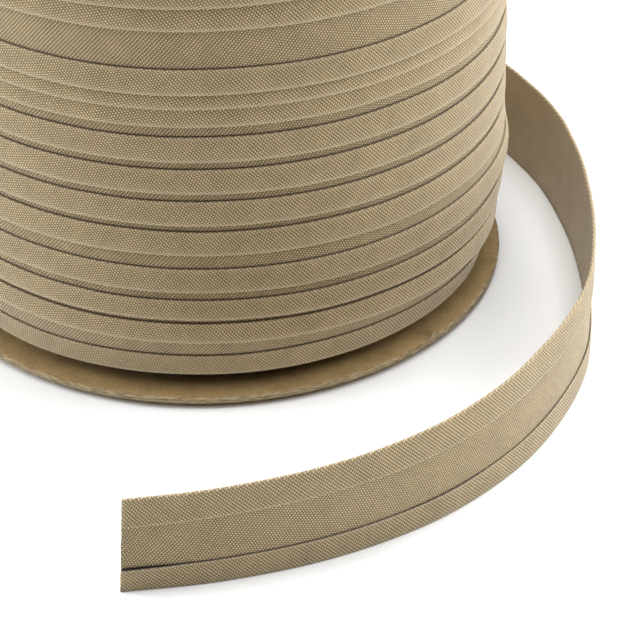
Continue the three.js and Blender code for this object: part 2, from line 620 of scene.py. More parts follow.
    def thread_tone(
        self, book: ShaderBook, warp: Expression, weft: Expression, under: Expression
    ) -> Expression:
        """Lightness that differs from thread to thread and slubs along each one.

        Args:
            book: Node tree to write in.
            warp: Position across the warp threads, counted in threads.
            weft: Position across the weft threads, counted in threads.
            under: 1 where a warp thread goes under a weft thread.

        Returns:
            A small number to add to the cloth's tone.
        """
        slub = self.slub_patches
        warp_slub = book.noise(book.vector(warp.floor() * 7.3, weft * slub, 0.0), 1.0, 1.0)
        weft_slub = book.noise(book.vector(weft.floor() * 5.9, warp * slub, 40.0), 1.0, 1.0)
        return ((warp_slub - 0.5) * (1.0 - under) + (weft_slub - 0.5) * under) * self.slub_depth


@dataclass(frozen=True)
class KraftCard:
    """Uncoated brown board: laid fibres on its faces, pale torn plies on its rim.

    Patches are counted to the metre.
    """

    face: tuple[float, float, float] = (0.48, 0.335, 0.15)
    fleck: tuple[float, float, float] = (0.17, 0.105, 0.038)
    rim: tuple[float, float, float] = (0.4, 0.325, 0.205)
    crack: tuple[float, float, float] = (0.2, 0.145, 0.075)
    contrast: float = 1.7
    cloud_contrast: float = 0.8
    middle_tone: float = 0.52
    fibre_patches: float = 3200.0
    fibre_stretch: tuple[float, float, float] = (1.0, 2.6, 1.0)
    fibre_turn: float = 0.4
    cloud_patches: float = 220.0
    speck_patches: float = 2600.0
    speck_share: float = 0.5
    ply_patches: float = 2100.0
    ply_stretch: tuple[float, float, float] = (0.3, 0.3, 2.2)
    fibre_lift: float = 0.8
    ply_lift: float = 1.8
    relief: float = 0.12
    bump_strength: float = 0.8
    roughness: float = 0.72
    roughness_change: float = 0.16
    gloss: float = 0.25

    def material(self) -> bpy.types.Material:
        """Builds the card's material.

        Returns:
            The material.
        """
        book = ShaderBook("kraft_card")
        place = book.node("ShaderNodeTexCoord").outputs["Object"]
        laid = {"Vector": place, "Scale": self.fibre_stretch, "Rotation": (0, 0, self.fibre_turn)}
        fibre_place = book.node("ShaderNodeMapping", {}, laid).outputs[0]
        fibres = book.noise(fibre_place, self.fibre_patches, 6.0)
        cloud = book.noise(place, self.cloud_patches, 5.0)
        edge = book.mark("rim")
        layered = {"Vector": place, "Scale": self.ply_stretch}
        ply_place = book.node("ShaderNodeMapping", {}, layered).outputs[0]
        ply = book.noise(ply_place, self.ply_patches, 5.0)
        speck = book.noise(place, self.speck_patches, 2.0).ramp(0.6, 0.7)
        grain = (fibres - 0.5) * self.contrast + (cloud - 0.5) * self.cloud_contrast + self.middle_tone
        colour = book.blend(grain, self.fleck, self.face)
        colour = book.blend(speck * self.speck_share, colour, self.rim)
        torn = book.blend(ply.ramp(0.36, 0.64), self.crack, self.rim)
        colour = book.blend(edge, colour, torn)
        lift = fibres * self.fibre_lift + edge * ply * self.ply_lift
        bump = book.node(
            "ShaderNodeBump",
            {},
            {"Strength": self.bump_strength, "Distance": self.relief * MM, "Height": lift},
        )
        return book.finish(
            Base_Color=colour,
            Roughness=fibres * self.roughness_change + self.roughness,
            Normal=bump.outputs[0],
            Specular_IOR_Level=self.gloss,
        )


@dataclass(frozen=True)
class LooseFibre:
    """Single fibres and thread ends that stand out of the cloth's folds and cut edges."""

    colour: tuple[float, float, float] = (0.56, 0.49, 0.36)
    shade: float = 0.6
    patches: float = 700.0
    roughness: float = 0.9
    gloss: float = 0.15

    def material(self) -> bpy.types.Material:
        """Builds the fibres' material.

        Returns:
            The material.
        """
        book = ShaderBook("loose_fibre")
        place = book.node("ShaderNodeTexCoord").outputs["Object"]
        dark = tuple(self.shade * part for part in self.colour)
        colour = book.blend(book.noise(place, self.patches, 1.0), dark, self.colour)
        return book.finish(Base_Color=colour, Roughness=self.roughness, Specular_IOR_Level=self.gloss)


@dataclass
class Tape:
    """The folded tape itself: what is the same on the roll and on the loose end."""

    width: float = 20.0
    lower_flap: float = 4.9
    upper_flap: float = 5.7
    cloth: float = 0.36
    fold: float = 0.64

    @property
    def cut_width(self) -> float:
        """Width of the cloth before its flaps are folded over."""
        return self.width + self.lower_flap + self.upper_flap


@dataclass(frozen=True)
class Station:
    """One place across the tape as it lies on the roll.

    Rise is the height above the lower fold, depth the distance in from the flap's outer face. The
    marks say how much the place is a flap, how much painted shade darkens it in a crevice and under a
    lip, and how pale it is painted, partly for wear and partly as a painted highlight.
    """

    rise: float
    depth: float
    flap: float = 1.0
    painted_shade: float = 0.0
    pale: float = 0.0


# In these station tables the crevice mark is painted shade under each lip and in the raw edges'
# crevices, and the pale mark is partly wear and partly a painted highlight along folds and raw edges.
LIP_STATIONS = (
    Station(0.30, 0.64, painted_shade=0.25),
    Station(0.09, 0.55, painted_shade=0.1),
    Station(0.00, 0.32, pale=0.35),
    Station(0.09, 0.08, pale=0.75),
    Station(0.36, 0.00, pale=0.6),
)
FACE_STATIONS = (
    Station(0.85, -0.02, pale=0.1),
    Station(2.4, -0.07),
    Station(4.1, -0.05),
    Station(4.70, -0.06, pale=0.2),
    Station(4.86, 0.00, pale=0.35),
    Station(4.91, 0.16, painted_shade=0.3),
    Station(4.93, 0.42, flap=0.0, painted_shade=0.9),
    Station(5.04, 0.42, flap=0.0, painted_shade=0.9),
    Station(5.14, 0.38, flap=0.0, painted_shade=0.3),
    Station(5.45, 0.34, flap=0.0, painted_shade=0.05),
    Station(7.5, 0.32, flap=0.0),
)
UPPER_STATIONS = (
    Station(11.0, 0.36, flap=0.0),
    Station(13.9, 0.38, flap=0.0, painted_shade=0.1),
    Station(14.2, 0.42, flap=0.0, painted_shade=0.7),
    Station(14.3, 0.08, pale=0.9),
    Station(14.5, 0.00, pale=0.3),
    Station(17.0, -0.05),
    Station(19.3, 0.00, pale=0.3),
    Station(19.8, 0.12, pale=0.7),
    Station(20.0, 0.38, pale=0.3),
)


@dataclass(frozen=True)
class Slack:
    """A belt of turns that bulge or sit in on the roll's slack side."""

    height: float
    reach: float
    amount: float


@dataclass
class WoundTape:
    """The winding: leaning turns, each laid over the upper part of the turn below it.

    A number of turns counts from where the tape leaves the roll, clockwise as seen from above. The
    winding is first laid out flat, as turns against radius and height, and then rolled up.
    """

    tape: Tape
    leaving_angle: float = 215.0
    front_angle: float = -90.0
    radius: float = 57.5
    neck_radius: float = 50.0
    shoulder_rise: float = 0.8
    lowest_fold: tuple[float, float] = (54.6, 6.0)
    topmost_edge: tuple[float, float] = (55.6, 105.0)
    ends: tuple[float, float] = (2.7, 106.4)
    swell: tuple[float, float] = (9.0, 18.0)
    front_folds: tuple[float, ...] = (
        6.0, 14.8, 19.7, 25.6, 33.35, 39.55, 46.05, 52.45, 59.4, 62.85, 65.55, 77.75, 81.9, 85.0,
    )
    narrow_flaps: tuple[float, ...] = (-0.3, 0.85, 0.75)
    trim_grows: tuple[float, float] = (2.4, 4.1)
    edge_shows: tuple[float, float] = (4.95, 5.4)
    tuck: float = 0.03
    crowding: float = 0.012
    full_belly: float = 4.0
    tilt: float = 1.1
    tilt_grows: tuple[float, float] = (6.0, 16.0)
    tilt_ends: tuple[float, float] = (78.0, 85.0)
    slack_angle: float = 4.0
    slack_spread: float = 20.0
    slack: tuple[Slack, ...] = (
        Slack(10.0, 6.5, -1.7),
        Slack(17.5, 2.5, -0.3),
        Slack(26.0, 4.2, 1.05),
        Slack(60.0, 26.0, 0.3),
    )
    columns: int = 360
    lifting: float = 0.5
    unevenness: float = 0.16
    upright_share: float = 1.6
    lumps_per_metre: float = 45.0
    weld: float = 0.0008
    seed: int = 7

    @property
    def front_fraction(self) -> float:
        """Share of a turn from where the tape leaves to the front."""
        return (self.leaving_angle - self.front_angle) / 360.0

    @property
    def last_turn(self) -> int:
        """Number of turns at which the loose end leaves the roll."""
        return len(self.front_folds)

    def fold_height(self, turns: float) -> float:
        """Height of the lower fold after a number of turns.

        Args:
            turns: Turns from where the tape leaves the roll.

        Returns:
            The height.
        """
        passed = turns - self.front_fraction
        last = len(self.front_folds) - 1
        if passed <= 0:
            return self.lowest_fold[1]
        if passed >= last:
            return self.front_folds[last]
        lower = int(math.floor(passed))
        rise = self.front_folds[lower + 1] - self.front_folds[lower]
        height = self.front_folds[lower] + rise * float(smooth(passed - lower, 0, 1))
        tilted = float(smooth(height, *self.tilt_grows)) * (1 - float(smooth(height, *self.tilt_ends)))
        return height + self.tilt * tilted * math.sin(2 * math.pi * passed)

    def flap_trim(self, turns: float) -> float:
        """How much narrower than the others the lower flap is folded.

        Args:
            turns: Turns from where the tape leaves the roll.

        Returns:
            The missing width, below 0 where the flap is wider.
        """
        passed = max(0.0, turns - self.front_fraction)
        return float(np.interp(passed, range(len(self.narrow_flaps) + 1), (*self.narrow_flaps, 0.0)))

    def fold_radius(self, height: float) -> float:
        """Radius of the folds at a height.

        Args:
            height: Height above the surface.

        Returns:
            The radius.
        """
        from_bottom = min(1.0, max(0.0, (height - self.lowest_fold[1]) / self.swell[0]))
        from_top = min(1.0, max(0.0, (self.topmost_edge[1] - height) / self.swell[1]))
        lower = (self.radius - self.lowest_fold[0]) * (1 - from_bottom) ** 2
        upper = (self.radius - self.topmost_edge[0]) * (1 - from_top) ** 2
        return self.radius - lower - upper

    def lip_share(self, turns: float) -> float:
        """How far a turn's fold stands out: not at all in the first turn, then fully.

        Args:
            turns: Turns from where the tape leaves the roll.

        Returns:
            A share between 0 and 1.
        """
        return float(smooth(turns, 1.0, 1.35))

    def lift_off(self, turns: float) -> float:
        """How far the last turn has risen off the roll before the loose end leaves it.

        Args:
            turns: Turns from where the tape leaves the roll.

        Returns:
            The distance.
        """
        return self.lifting * float(smooth(turns, self.last_turn - 0.2, self.last_turn))

    def lip(self, turns: float) -> np.ndarray:
        """Points round a turn's lower fold, from its back to its front.

        Args:
            turns: Turns from where the tape leaves the roll.

        Returns:
            A row of radius and height for each of the lip's stations.
        """
        height = self.fold_height(turns)
        radius = self.fold_radius(height) + self.lift_off(turns)
        front = LIP_STATIONS[-1]
        share = self.lip_share(turns)
        return np.array(
            [
                (
                    radius - station.depth * share,
                    height + front.rise + (station.rise - front.rise) * share,
                )
                for station in LIP_STATIONS
            ]
        )

    def covered_face(self, turns: float, next_turns: float) -> np.ndarray:
        """Points up the face of a turn that the next turn partly covers.

        Args:
            turns: Turns to this place on the tape.
            next_turns: Turns to the place on the turn above it.

        Returns:
            A row of radius and height for each of the face's stations.
        """
        fold_radius, fold_height = self.lip(turns)[-1]
        end_radius, end_height = self.lip(next_turns)[0]
        base = fold_height - LIP_STATIONS[-1].rise
        shown = end_height - base
        trim = self.flap_trim(turns)
        open_edge = float(smooth(shown + trim, *self.edge_shows))
        recess = FACE_STATIONS[-1].depth * open_edge
        start = LIP_STATIONS[-1].rise
        rows = []
        for number, station in enumerate(FACE_STATIONS):
            left = len(FACE_STATIONS) - number
            own_rise = station.rise - trim * float(smooth(station.rise, *self.trim_grows))
            rise = own_rise if left > 1 else shown - self.tuck
            rise = max(start, min(rise, shown - self.crowding * left))
            share = (rise - start) / max(shown - start, 1e-6)
            lean = (fold_radius - end_radius - recess) * min(1.0, share)
            fullness = open_edge if station.depth > 0 else min(1.0, shown / self.full_belly)
            rows.append((fold_radius - lean - station.depth * fullness, base + rise))
        if shown > start:
            return np.array(rows)
        return np.tile((fold_radius, fold_height), (len(FACE_STATIONS), 1))

    def open_face(self, turns: float, low: float, high: float) -> np.ndarray:
        """Points up the whole width of the topmost turn, kept between two rises.

        Args:
            turns: Turns to this place on the tape.
            low: Lowest rise kept.
            high: Highest rise kept.

        Returns:
            A row of radius and height for each station of the face and the upper flap.
        """
        fold_radius, fold_height = self.lip(turns)[-1]
        base = fold_height - LIP_STATIONS[-1].rise
        stations = LIP_STATIONS[-1:] + FACE_STATIONS + UPPER_STATIONS
        rises = [station.rise for station in stations]
        depths = [station.depth for station in stations]
        kept = np.clip([station.rise for station in FACE_STATIONS + UPPER_STATIONS], low, high)
        lean = (self.radius - self.topmost_edge[0]) * kept / self.tape.width
        return np.column_stack([fold_radius - lean - np.interp(kept, rises, depths), base + kept])

    def column(self, number: int) -> list[tuple[np.ndarray, Sequence[Station], float]]:
        """Outline of the winding at one place round it, from its lower end up to its upper end.

        Args:
            number: Number of the column, from 0 to the number of columns.

        Returns:
            For each stretch of the outline its points, its stations and its turns along the tape.
        """
        share = number / self.columns
        # The neck above and below the turns is painted fully in the near-black shade colour: painted
        # shade where the gap at the flanges lies in shadow.
        neck = Station(0, 0, painted_shade=1.0)
        shoulder = self.lowest_fold[1] - self.shoulder_rise
        low_neck = np.array(
            [(0.0, self.ends[0]), (self.neck_radius, self.ends[0]), (self.neck_radius, shoulder)]
        )
        stretches = [(low_neck, (neck,) * len(low_neck), share)]
        stretches.append((self.base_lip(), LIP_STATIONS, share - 1))
        stretches.append((self.covered_face(0.0, share), FACE_STATIONS, share - 1))
        for turn in range(self.last_turn - 1):
            turns = turn + share
            stretches.append((self.lip(turns), LIP_STATIONS, turns))
            stretches.append((self.covered_face(turns, turns + 1), FACE_STATIONS, turns))
        stretches.extend(self.top_stretches(number, share))
        top_radius, top_height = stretches[-1][0][-1]
        high_neck = np.array(
            [
                (top_radius - self.tape.fold, top_height),
                (self.neck_radius, self.topmost_edge[1] + self.shoulder_rise),
                (self.neck_radius, self.ends[1]),
                (0.0, self.ends[1]),
            ]
        )
        stretches.append((high_neck, (neck,) * len(high_neck), share))
        return stretches

    def base_lip(self) -> np.ndarray:
        """Points round the lower fold of the lowest turn, which is level all the way round.

        Returns:
            A row of radius and height for each of the lip's stations.
        """
        radius, height = self.lowest_fold
        return np.array([(radius - station.depth, height + station.rise) for station in LIP_STATIONS])

    def top_stretches(
        self, number: int, share: float
    ) -> list[tuple[np.ndarray, Sequence[Station], float]]:
        """Outline of the topmost turn, with a step where the loose end has left the roll.

        Args:
            number: Number of the column.
            share: Share of a turn from where the tape leaves.

        Returns:
            The last four stretches of the column.
        """
        turns = self.last_turn - 1 + share
        width = self.tape.width
        face = FACE_STATIONS + UPPER_STATIONS
        if number == 0:
            below = self.covered_face(turns, turns + 1)
            padding = np.tile(below[-1], (len(UPPER_STATIONS), 1))
            lower = (self.lip(turns), np.vstack([below, padding]))
            upper = (self.lip(turns + 1), self.open_face(turns + 1, 0.0, width))
        else:
            shown = self.lip(self.last_turn)[0][1] - self.fold_height(self.last_turn - 1)
            cut = shown + (width - shown) * share
            lower = (self.lip(turns), self.open_face(turns, 0.0, cut))
            corner = self.open_face(turns, cut, width)
            upper = (np.tile(corner[0], (len(LIP_STATIONS), 1)), corner)
        return [
            (lower[0], LIP_STATIONS, turns),
            (lower[1], face, turns),
            (upper[0], LIP_STATIONS, turns),
            (upper[1], face, turns),
        ]

    def strip(self) -> bpy.types.Object:
        """Lays the winding out flat, with turns along X, radius along Y and height along Z.

        Returns:
            The flat piece, with its cloth coordinates and marks.
        """
        points: list[tuple[float, float, float]] = []
        stations: list[Station] = []
        turns: list[float] = []
        rises: list[float] = []
        for number in range(self.columns + 1):
            for outline, marks, turn in self.column(number):
                base = self.fold_height(turn)
                for (radius, height), station in zip(outline, marks):
                    points.append((number / self.columns / MM, radius, height))
                    stations.append(station)
                    turns.append(turn)
                    rises.append(self.across_cloth(station, height - base))
        size = len(points) // (self.columns + 1)
        faces, uv = [], []
        marks = {"painted_shade": [], "pale": []}
        round_trip = 2 * math.pi * self.radius
        for number in range(self.columns):
            first = number * size
            for low in range(first, first + size - 1):
                corners = (low, low + 1, low + size + 1, low + size)
                faces.append(corners)
                own = turns[low + 1]
                along = (own, own, own + 1 / self.columns, own + 1 / self.columns)
                places = zip(along, corners)
                uv.append([(place * round_trip, rises[corner]) for place, corner in places])
                for name, values in marks.items():
                    values.append([getattr(stations[corner], name) for corner in corners])
        piece = mesh_piece("wound_turns", np.array(points), faces)
        paint_corners(piece, uv, marks)
        return piece

    def across_cloth(self, station: Station, rise: float) -> float:
        """Place across the unfolded cloth of a point at a rise above its turn's lower fold.

        Args:
            station: The point's station.
            rise: Its rise.

        Returns:
            The distance from the lower fold, counted as less than nothing on the lower flap.
        """
        if not station.flap:
            return rise
        return -rise if rise < self.tape.width / 2 else 2 * self.tape.width - rise

    def rolling(self, cloth: bpy.types.Material) -> ShapeBook:
        """Writes the tree that rolls the flat strip up round the axis.

        Args:
            cloth: Material of the tape.

        Returns:
            The finished tree.
        """
        book = ShapeBook("wind_round")
        start = book.given("Leaving angle", math.radians(self.leaving_angle))
        uneven = book.given("Unevenness", self.unevenness * MM)
        lump = book.given("Lumps per metre", self.lumps_per_metre)
        solid = book.given("Even inside radius", (self.neck_radius + 1.0) * MM)
        seed = book.given("Seed", self.seed, "NodeSocketInt")
        weld = book.given("Weld distance", self.weld * MM)
        material = book.given("Cloth", cloth, "NodeSocketMaterial")
        place = book.node("GeometryNodeInputPosition").outputs[0]
        share, radius, height = book.parts(place)
        angle = start - share * (2 * math.pi)
        across, back = angle.cosine(), angle.math("SINE")
        site = book.vector(across * radius, back * radius, height * 3.0)
        outer = radius.math("GREATER_THAN", solid)
        loose = outer * uneven * 2.0
        new_radius = radius + (self.lumps(book, site, lump, seed) - 0.5) * loose
        new_radius = new_radius + self.slackness(book, share, height) * outer
        lift = self.lumps(book, site, lump * 0.8, seed + 11.0) - 0.5
        new_height = height + lift * loose * self.upright_share
        rolled = book.vector(across * new_radius, back * new_radius, new_height)
        lifted = {"Geometry": book.entry.outputs[0], "Position": rolled}
        moved = book.node("GeometryNodeSetPosition", {}, lifted)
        joined = {"Geometry": moved.outputs[0], "Distance": weld}
        welded = book.node("GeometryNodeMergeByDistance", {}, joined)
        soft = book.node("GeometryNodeSetShadeSmooth", {}, {"Geometry": welded.outputs[0]})
        book.close(soft.outputs[0], material)
        return book

    def lumps(
        self, book: ShapeBook, site: bpy.types.NodeSocket, scale: Expression, seed: Expression
    ) -> Expression:
        """Noise that makes the turns uneven, different for each seed.

        Args:
            book: Tree to write in.
            site: Where the noise is read.
            scale: Lumps to the metre.
            seed: Seed of the noise.

        Returns:
            The noise, between 0 and 1.
        """
        inputs = {"Vector": site, "W": seed, "Scale": scale, "Detail": 2.0}
        node = book.node("ShaderNodeTexNoise", {"noise_dimensions": "4D"}, inputs)
        return Expression(book, node.outputs[0])

    def slackness(self, book: ShapeBook, share: Expression, height: Expression) -> Expression:
        """Adds the slack of a few turns on one side of the roll, which bulge or sit in there.

        Args:
            book: Tree to write in.
            share: Share of a turn from where the tape leaves.
            height: Height above the surface, in metres.

        Returns:
            Change of the radius, in metres.
        """
        centre = (self.leaving_angle - self.slack_angle) / 360.0
        place = book.given("Slack side", centre)
        spread = book.given("Slack spread", self.slack_spread / 360.0)
        window = ((share - place) / spread) ** 2.0
        total = book.given("Slack everywhere", 0.0)
        for number, belt in enumerate(self.slack):
            level = book.given(f"Slack level {number}", belt.height * MM)
            reach = book.given(f"Slack reach {number}", belt.reach * MM)
            size = book.given(f"Slack amount {number}", belt.amount * MM)
            offset = (height - level) / reach
            total = total + (window + offset * offset).math("MULTIPLY", -1.0).math("EXPONENT") * size
        return total

    def build(self, cloth: bpy.types.Material) -> bpy.types.Object:
        """Builds the winding.

        Args:
            cloth: Material of the tape.

        Returns:
            The finished piece.
        """
        piece = self.strip()
        self.rolling(cloth).shape(piece)
        return piece


def between(first: np.ndarray, second: np.ndarray, start: float, end: float, at: float) -> np.ndarray:
    """Point on the line through two points, by its place between two knots.

    Args:
        first: Point at the start knot.
        second: Point at the end knot.
        start: The start knot.
        end: The end knot.
        at: The place.

    Returns:
        The point.
    """
    return first + (second - first) * (at - start) / (end - start)


def travelled_along(points: np.ndarray) -> np.ndarray:
    """Distance from the first of a row of points to each of them.

    Args:
        points: The points, one row each.

    Returns:
        The distances.
    """
    return np.concatenate([[0.0], np.cumsum(np.linalg.norm(np.diff(points, axis=0), axis=1))])


def eased_route(controls: np.ndarray, spacing: float) -> np.ndarray:
    """Smooth curve through points, in even steps.

    Args:
        controls: The points, one row each.
        spacing: Wanted distance between steps.

    Returns:
        The points of the curve.
    """
    ends = np.vstack([2 * controls[0] - controls[1], controls, 2 * controls[-1] - controls[-2]])
    dense = []
    for k in range(1, len(ends) - 2):
        four = ends[k - 1 : k + 3]
        steps = np.sqrt(np.linalg.norm(np.diff(four, axis=0), axis=1))
        knots = np.concatenate([[0.0], np.cumsum(steps)])
        for t in np.linspace(knots[1], knots[2], 60, endpoint=False):
            a = [between(four[i], four[i + 1], knots[i], knots[i + 1], t) for i in range(3)]
            b = [between(a[i], a[i + 1], knots[i], knots[i + 2], t) for i in range(2)]
            dense.append(between(b[0], b[1], knots[1], knots[2], t))
    dense.append(controls[-1])
    dense = np.array(dense)
    lengths = travelled_along(dense)
    even = np.linspace(0, lengths[-1], int(round(lengths[-1] / spacing)) + 1)
    return np.column_stack([np.interp(even, lengths, dense[:, axis]) for axis in range(3)])


def slow_waves(count: int, lengths: Sequence[float], rng: np.random.Generator) -> np.ndarray:
    """Sum of sine waves with random phases, between about -1 and 1.

    Args:
        count: Number of samples, taken as one to the millimetre.
        lengths: Wavelength of each wave, in millimetres.
        rng: Source of the phases.

    Returns:
        The samples.
    """
    place = np.arange(count, dtype=float)
    waves = [np.sin(2 * math.pi * place / length + rng.uniform(0, 2 * math.pi)) for length in lengths]
    return np.sum(waves, axis=0) / math.sqrt(len(lengths))


@dataclass
class LooseEnd:
    """The last length of tape: down behind the roll, out to the right and round to the front.

    Behind the roll each point of its lower edge has an angle, a radius and a height, and on the
    surface an X and a Y. The leans, in degrees, are spaced evenly along the table run. Each of the
    flap shares is a place from the fold to the raw edge and how pale the cloth is painted there,
    partly for wear and partly as a painted highlight along the raw edge.
    """

    tape: Tape
    behind: tuple[tuple[float, float, float], ...] = (
        (214.9, 56.5, 85.0),
        (210, 56.75, 84.5),
        (205, 57.1, 83.2),
        (195, 57.9, 79.9),
        (180, 58.7, 74.0),
        (155, 60.0, 59.5),
        (130, 61.4, 43.0),
        (100, 63.8, 23.5),
        (70, 67.3, 7.0),
    )
    on_table: tuple[tuple[float, float], ...] = (
        (50.7, 50.6),
        (65.1, 26.4),
        (70.8, 2.7),
        (72.2, -15.6),
        (71.8, -31.6),
        (69.8, -47.0),
        (64.2, -62.0),
        (55.5, -76.3),
        (42.8, -89.2),
        (30.7, -97.1),
        (17.6, -102.8),
        (1.4, -107.0),
        (-13.4, -108.8),
    )
    leans: tuple[float, ...] = (0.8, 4.7, 1.7, -3.4, 0.6, 3.1)
    table_run: float = 214.5
    spacing: float = 0.8
    first_lean: float = -5.4
    lean_length: float = 45.0
    cut_slant: float = -4.0
    slant_length: float = 12.0
    fold_gap: float = 0.38
    flap_spring: float = 0.054
    end_spring: float = 0.5
    flap_crown: float = 0.05
    # The raw edges are painted pale: partly wear, partly a painted highlight.
    flap_shares: tuple[tuple[float, float], ...] = (
        (1.0, 0.9),
        (0.985, 0.55),
        (0.93, 0.0),
        (0.75, 0.0),
        (0.5, 0.0),
        (0.22, 0.0),
    )
    bend_turns: tuple[float, ...] = (0, 35, 70, 105, 140, 180)
    # The fold's crest is painted pale: partly wear, partly a painted highlight.
    fold_pale: tuple[float, float] = (0.08, 0.3)
    web_bow: float = 0.08
    flare_length: float = 14.0
    held_length: tuple[float, float] = (2.0, 25.0)
    fray: float = 0.12
    cut_pale: float = 0.9
    seed: int = 21

    def route(self) -> np.ndarray:
        """Lower edge of the tape, from the roll to the cut end, never below the surface.

        Returns:
            The edge's points in even steps, one row each.
        """
        controls = [
            (radius * math.cos(math.radians(angle)), radius * math.sin(math.radians(angle)), lift)
            for angle, radius, lift in self.behind
        ]
        controls += [(x, y, 0.0) for x, y in self.on_table]
        return np.maximum(eased_route(np.array(controls), self.spacing), (-np.inf, -np.inf, 0.0))

    def lean(self, travelled: np.ndarray) -> np.ndarray:
        """Outward lean of the tape's upper edge, in radians.

        Args:
            travelled: Distance from the roll of each step.

        Returns:
            The lean at each step.
        """
        from_end = travelled[-1] - travelled
        place = np.clip(1 - from_end / self.table_run, 0, 1) * (len(self.leans) - 1)
        on_table = np.interp(place, range(len(self.leans)), self.leans)
        share = smooth(travelled, 0, self.lean_length)
        return np.radians(self.first_lean + (on_table - self.first_lean) * share)

    def middle_line(self, lower_spring: float, upper_spring: float) -> tuple[np.ndarray, list[Station]]:
        """Middle of the cloth's thickness across the folded tape, from one raw edge to the other.

        Args:
            lower_spring: How far the lower flap's raw edge stands off.
            upper_spring: How far the upper flap's raw edge stands off.

        Returns:
            Points as distances outward and up from the lower edge, and each point's station.
        """
        lower, lower_marks = self.flap_line(-1, self.tape.lower_flap, lower_spring)
        upper, upper_marks = self.flap_line(1, self.tape.upper_flap, upper_spring)
        web = self.web_line()
        marks = lower_marks + [Station(0, 0, flap=0.0)] * len(web) + upper_marks[::-1]
        return np.array(lower + web + upper[::-1]), marks

    @property
    def bend_centre(self) -> float:
        """Distance of the folds' bends from the middle of the width."""
        return self.tape.width / 2 - self.fold_gap / 2 - self.tape.cloth / 2

    def flap_line(
        self, side: int, flap: float, spring: float
    ) -> tuple[list[tuple[float, float]], list[Station]]:
        """Middle of the cloth's thickness from a flap's raw edge round its fold.

        Args:
            side: -1 for the lower flap, 1 for the upper one.
            flap: Width of the flap.
            spring: How far its raw edge stands off.

        Returns:
            Points as distances outward and up from the lower edge, and each point's station.
        """
        half = self.tape.width / 2
        bend = self.fold_gap / 2
        inset = bend + self.tape.cloth / 2
        points: list[tuple[float, float]] = []
        marks: list[Station] = []
        for share, pale in self.flap_shares:
            out = self.fold_gap + spring * share**2 + self.flap_crown * math.sin(math.pi * share)
            points.append((out, half + side * (half - inset - share * (flap - inset))))
            marks.append(Station(0, 0, pale=pale))
        for turn in self.bend_turns:
            swing = math.radians(turn)
            height = half + side * (self.bend_centre + bend * math.sin(swing))
            points.append((bend + bend * math.cos(swing), height))
            marks.append(Station(0, 0, pale=self.fold_pale[0] + self.fold_pale[1] * math.sin(swing)))
        return points, marks

    def web_line(self) -> list[tuple[float, float]]:
        """Points up the middle of the tape between the bends of its folds.

        Returns:
            The points, slightly bowed.
        """
        half, reach = self.tape.width / 2, self.bend_centre * 0.8
        lower, upper = half - self.tape.lower_flap, half - self.tape.upper_flap
        heights = [-reach, -lower - 0.35, -lower, -lower + 0.35, -lower + 1.1, -2.2, 0.0, 2.0]
        heights += [upper - 0.9, upper - 0.25, upper, upper + 0.35, reach]
        bows = [self.web_bow * math.cos(math.pi * height / self.tape.width) for height in heights]
        return [(bow, half + height) for bow, height in zip(bows, heights)]

    def build(self, cloth: bpy.types.Material) -> bpy.types.Object:
        """Builds the loose end.

        Args:
            cloth: Material of the tape.

        Returns:
            The finished piece, a closed thin cloth.
        """
        route = self.route()
        rng = np.random.default_rng(self.seed)
        along = np.gradient(route, axis=0)
        along /= np.linalg.norm(along, axis=1)[:, None]
        travelled = np.arange(len(route)) * self.spacing
        lean = self.lean(travelled)
        lower, upper = self.springs(travelled, rng)
        slanted = smooth(travelled, travelled[-1] - self.slant_length, travelled[-1])
        slant = math.tan(math.radians(self.cut_slant)) * slanted
        points = []
        for k, start in enumerate(route):
            middle, marks = self.middle_line(lower[k], upper[k])
            ring = self.thickened(middle)
            last = k == len(route) - 1
            jitter = rng.uniform(-self.fray, self.fray, len(ring)) if last else np.zeros(len(ring))
            shift = jitter + (ring[:, 1] - self.tape.width / 2) * slant[k]
            outward, across = self.axes(along[k], lean[k])
            cloth_ring = ring[:, :1] * outward + ring[:, 1:] * across + shift[:, None] * along[k]
            lifted = (0.0, 0.0, max(0.0, -float(cloth_ring[:, 2].min())))
            points.append(start + cloth_ring + lifted)
        places = travelled_along(self.middle_line(0.0, 0.0)[0]) - self.tape.lower_flap
        return self.skin(np.array(points), places, travelled, marks, cloth)

    def springs(self, travelled: np.ndarray, rng: np.random.Generator) -> tuple[np.ndarray, np.ndarray]:
        """How far the raw edges of the two flaps stand off, most of all at the cut end.

        Args:
            travelled: Distance from the roll of each step.
            rng: Source of the unevenness.

        Returns:
            The distance at each step, of the lower flap and of the upper one.
        """
        count = len(travelled)
        flare = self.end_spring * smooth(travelled, travelled[-1] - self.flare_length, travelled[-1])
        lower = self.flap_spring * (1 + slow_waves(count, (31, 47, 83), rng)) + flare
        upper = self.flap_spring * (1 + slow_waves(count, (27, 53, 71), rng)) + flare * 0.6
        held = smooth(travelled, *self.held_length)
        return lower * held, upper * held

    def axes(self, along: np.ndarray, lean: float) -> tuple[np.ndarray, np.ndarray]:
        """Directions across the tape at one step.

        Args:
            along: Direction of the tape.
            lean: Outward lean, in radians.

        Returns:
            The direction outward from its face and the direction up its width.
        """
        outward = np.cross((0, 0, 1), along)
        outward /= np.linalg.norm(outward)
        across = np.cross(along, outward)
        leaning = outward * math.cos(lean) - across * math.sin(lean)
        return leaning, across * math.cos(lean) + outward * math.sin(lean)

    def thickened(self, middle: np.ndarray) -> np.ndarray:
        """Ring of points round the cloth's section.

        Args:
            middle: Middle of the cloth's thickness, from one raw edge to the other.

        Returns:
            The points of one side in order, then those of the other side back again.
        """
        steps = np.gradient(middle, axis=0)
        steps /= np.linalg.norm(steps, axis=1)[:, None]
        normals = np.column_stack([-steps[:, 1], steps[:, 0]])
        half = self.tape.cloth / 2
        return np.vstack([middle + normals * half, (middle - normals * half)[::-1]])

